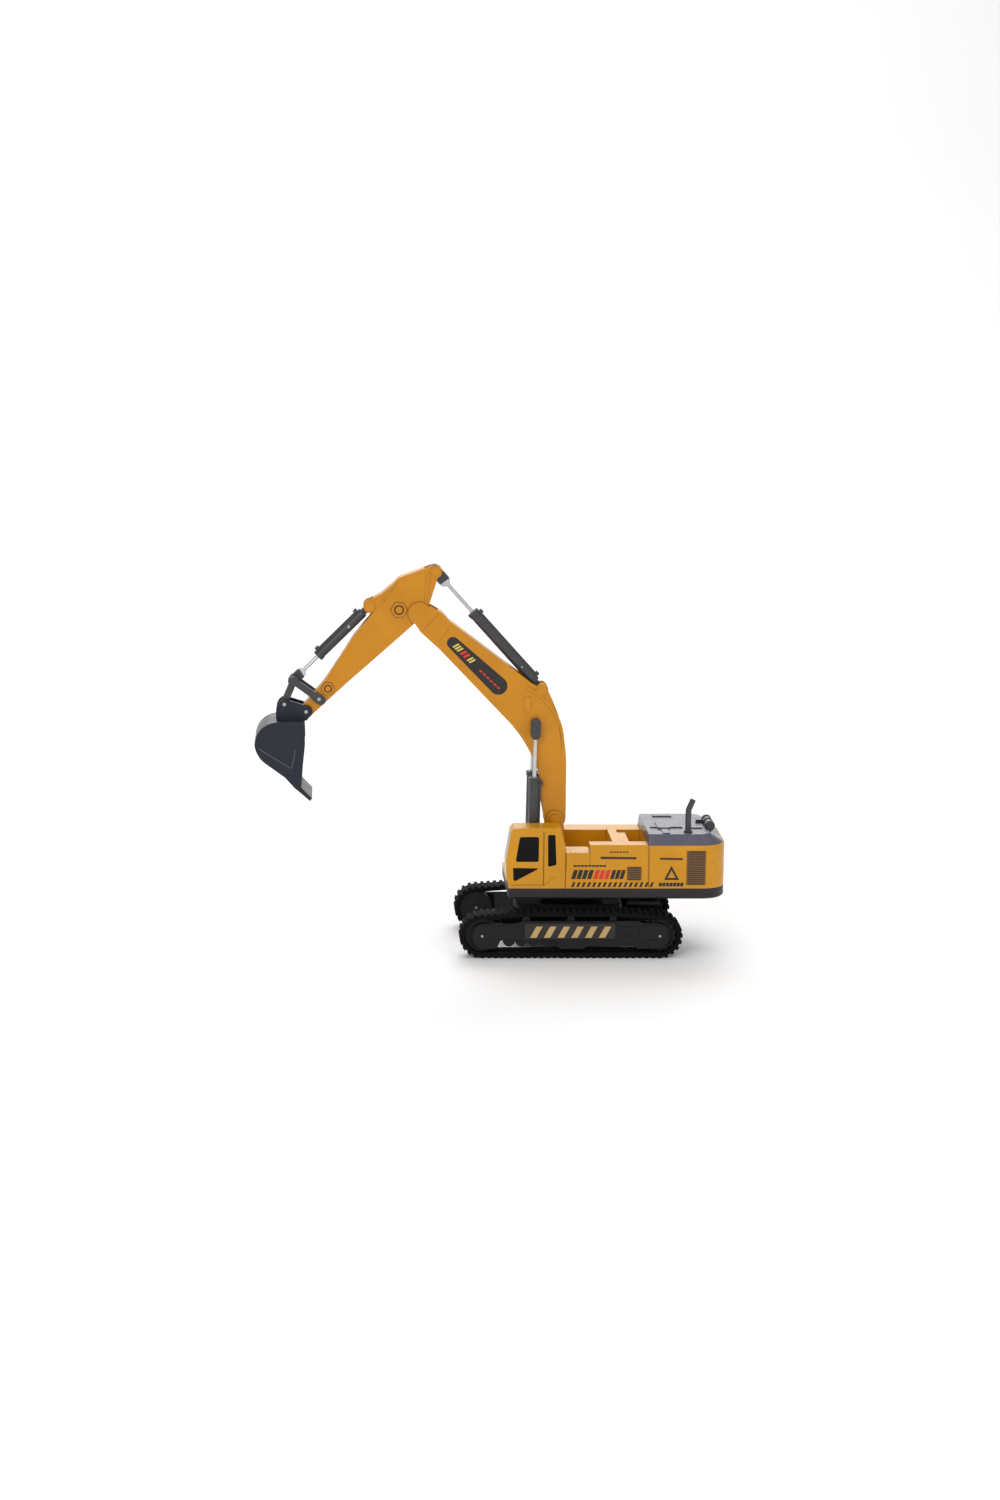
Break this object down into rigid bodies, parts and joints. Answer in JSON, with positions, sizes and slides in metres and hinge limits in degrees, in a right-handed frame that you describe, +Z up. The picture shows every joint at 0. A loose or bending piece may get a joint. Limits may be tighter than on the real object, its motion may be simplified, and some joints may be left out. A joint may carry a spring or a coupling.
{
  "type": "toy tracked excavator",
  "caption": "Toy tracked excavator with slewing body, bent boom, stick and curling bucket moved by pinned cylinders and a bucket linkage.",
  "frame": {"origin": "bottom centre of the bounding box: on the ground, midway between the bucket's front and the tail, on the machine's centre plane", "axes": "+X forwards along the arm towards the bucket, +Y to the machine's left, the cab side, +Z up"},
  "size_m": [0.3827, 0.112, 0.3143],
  "materials": {
    "black_plastic": "satin moulded",
    "track_rubber": "dull",
    "steel": "turned",
    "orange_plastic": "satin painted",
    "grey_plastic": "satin",
    "dark_pane": "glossy",
    "navy_plastic": "satin",
    "gunmetal_plastic": "satin",
    "bright_rod": "polished",
    "brown_plastic": "satin",
    "battery_blue": "shrink sleeve",
    "gear_white": "natural"
  },
  "bodies": {
    "undercarriage": {"track_belt_left": "track_rubber", "track_belt_right": "track_rubber", "roller_rail_left": "black_plastic", "roller_rail_right": "black_plastic", "track_frame_left": "black_plastic", "track_frame_right": "black_plastic", "idler_axles": "steel", "drive_gearbox_left": "black_plastic", "drive_gearbox_right": "black_plastic", "chassis": "black_plastic", "battery_pack": "battery_blue", "battery_door": "black_plastic", "kingpin": "steel", "slew_ring_gear": "black_plastic"},
    "power_switch": {"power_switch": "black_plastic"},
    "sprocket_left": {"drive_sprocket_left": "black_plastic", "sprocket_axle_left": "steel"},
    "sprocket_right": {"drive_sprocket_right": "black_plastic", "sprocket_axle_right": "steel"},
    "idler_left": {"idler_wheel_left": "black_plastic"},
    "idler_right": {"idler_wheel_right": "black_plastic"},
    "upper": {"platform": "black_plastic", "body_shell": "orange_plastic", "cab_shell": "orange_plastic", "cab_windows": "dark_pane", "engine_hood": "grey_plastic", "exhaust_stack": "gunmetal_plastic", "silencer": "gunmetal_plastic", "side_grilles": "brown_plastic", "vent_covers": "brown_plastic", "boom_bracket": "orange_plastic", "boom_pivot_pin": "steel", "boom_foot_pin": "steel", "boom_gearbox": "black_plastic", "slew_motor": "gunmetal_plastic"},
    "slew_pinion": {"slew_pinion": "gear_white"},
    "boom": {"boom_shell_left": "orange_plastic", "boom_shell_right": "orange_plastic", "boom_rod_pin": "steel", "stick_pivot_pin": "steel", "stick_barrel_pin": "steel", "stick_gearbox": "black_plastic", "boom_screws": "steel"},
    "boom_barrels": {"boom_barrel_left": "gunmetal_plastic", "boom_barrel_right": "gunmetal_plastic"},
    "boom_rods": {"boom_rod_left": "bright_rod", "boom_rod_right": "bright_rod"},
    "stick_barrel": {"stick_barrel": "gunmetal_plastic"},
    "stick_rod": {"stick_rod": "bright_rod"},
    "stick": {"stick_shell_left": "orange_plastic", "stick_shell_right": "orange_plastic", "stick_pins": "steel", "lever_pin": "steel", "bucket_gearbox": "black_plastic"},
    "bucket": {"bucket": "navy_plastic", "bucket_pins": "steel"},
    "bucket_barrel": {"bucket_barrel": "gunmetal_plastic"},
    "bucket_rod": {"bucket_rod": "bright_rod"},
    "bucket_lever": {"bucket_lever": "gunmetal_plastic"},
    "bucket_link": {"bucket_link": "gunmetal_plastic"}
  },
  "joints": [
    {"name": "slew", "type": "hinge", "parent": "undercarriage", "child": "upper", "pos_m": [-0.06495, 0, 0.044], "axis": [0, 0, 1], "continuous": true},
    {"name": "slew_pinion_spin", "type": "hinge", "parent": "upper", "child": "slew_pinion", "pos_m": [-0.09011, 0, 0.044], "axis": [0, 0, 1], "continuous": true},
    {"name": "sprocket_left_spin", "type": "hinge", "parent": "undercarriage", "child": "sprocket_left", "pos_m": [-0.13695, 0.045, 0.0183], "axis": [0, 1, 0], "continuous": true},
    {"name": "sprocket_right_spin", "type": "hinge", "parent": "undercarriage", "child": "sprocket_right", "pos_m": [-0.13695, -0.045, 0.0183], "axis": [0, 1, 0], "continuous": true},
    {"name": "idler_left_spin", "type": "hinge", "parent": "undercarriage", "child": "idler_left", "pos_m": [0.00705, 0.045, 0.0183], "axis": [0, 1, 0], "continuous": true},
    {"name": "idler_right_spin", "type": "hinge", "parent": "undercarriage", "child": "idler_right", "pos_m": [0.00705, -0.045, 0.0183], "axis": [0, 1, 0], "continuous": true},
    {"name": "power_switch_slide", "type": "slide", "parent": "undercarriage", "child": "power_switch", "axis": [0, 1, 0], "range_m": [0, 0.004]},
    {"name": "boom_swing", "type": "hinge", "parent": "upper", "child": "boom", "pos_m": [-0.05396, 0, 0.1055], "axis": [0, 1, 0], "range_deg": [-8, 35]},
    {"name": "boom_barrels_tilt", "type": "hinge", "parent": "upper", "child": "boom_barrels", "pos_m": [-0.03576, 0, 0.078], "axis": [0, 1, 0], "range_deg": [-7, 28]},
    {"name": "boom_rods_stroke", "type": "slide", "parent": "boom_barrels", "child": "boom_rods", "axis": [-0.0123, 0, 0.9999], "range_m": [-0.014, 0.0035]},
    {"name": "stick_swing", "type": "hinge", "parent": "boom", "child": "stick", "pos_m": [0.05785, 0, 0.275], "axis": [0, 1, 0], "range_deg": [-15, 25]},
    {"name": "stick_barrel_tilt", "type": "hinge", "parent": "boom", "child": "stick_barrel", "pos_m": [-0.04206, 0, 0.2124], "axis": [0, 1, 0], "range_deg": [-3, 5]},
    {"name": "stick_rod_stroke", "type": "slide", "parent": "stick_barrel", "child": "stick_rod", "axis": [0.6695, 0, 0.7428], "range_m": [-0.009, 0.014]},
    {"name": "bucket_curl", "type": "hinge", "parent": "stick", "child": "bucket", "pos_m": [0.14955, 0, 0.1945], "axis": [0, 1, 0], "range_deg": [-10, 45]},
    {"name": "bucket_barrel_tilt", "type": "hinge", "parent": "stick", "child": "bucket_barrel", "pos_m": [0.09774, 0, 0.2806], "axis": [0, 1, 0], "range_deg": [-2, 4]},
    {"name": "bucket_rod_stroke", "type": "slide", "parent": "bucket_barrel", "child": "bucket_rod", "axis": [0.7111, 0, -0.7031], "range_m": [-0.004, 0.014]},
    {"name": "bucket_lever_swing", "type": "hinge", "parent": "stick", "child": "bucket_lever", "pos_m": [0.13905, 0, 0.2049], "axis": [0, 1, 0], "range_deg": [-8, 33]},
    {"name": "bucket_link_swing", "type": "hinge", "parent": "bucket", "child": "bucket_link", "pos_m": [0.16725, 0, 0.2006], "axis": [0, 1, 0], "range_deg": [-31, 8]}
  ],
  "couplings": [
    {"joint": "slew_pinion_spin", "follows": "slew", "ratio": 4},
    {"joint": "idler_left_spin", "follows": "sprocket_left_spin", "ratio": 1},
    {"joint": "idler_right_spin", "follows": "sprocket_right_spin", "ratio": 1},
    {"joint": "boom_barrels_tilt", "follows": "boom_swing", "ratio": 0.765},
    {"joint": "boom_rods_stroke", "follows": "boom_swing", "m_per_rad": -0.022202},
    {"joint": "stick_barrel_tilt", "follows": "stick_swing", "ratio": 0.136},
    {"joint": "stick_rod_stroke", "follows": "stick_swing", "m_per_rad": 0.030567},
    {"joint": "bucket_lever_swing", "follows": "bucket_curl", "ratio": 0.7165},
    {"joint": "bucket_link_swing", "follows": "bucket_curl", "ratio": -0.6595},
    {"joint": "bucket_barrel_tilt", "follows": "bucket_curl", "ratio": 0.065},
    {"joint": "bucket_rod_stroke", "follows": "bucket_curl", "m_per_rad": 0.016616}
  ]
}
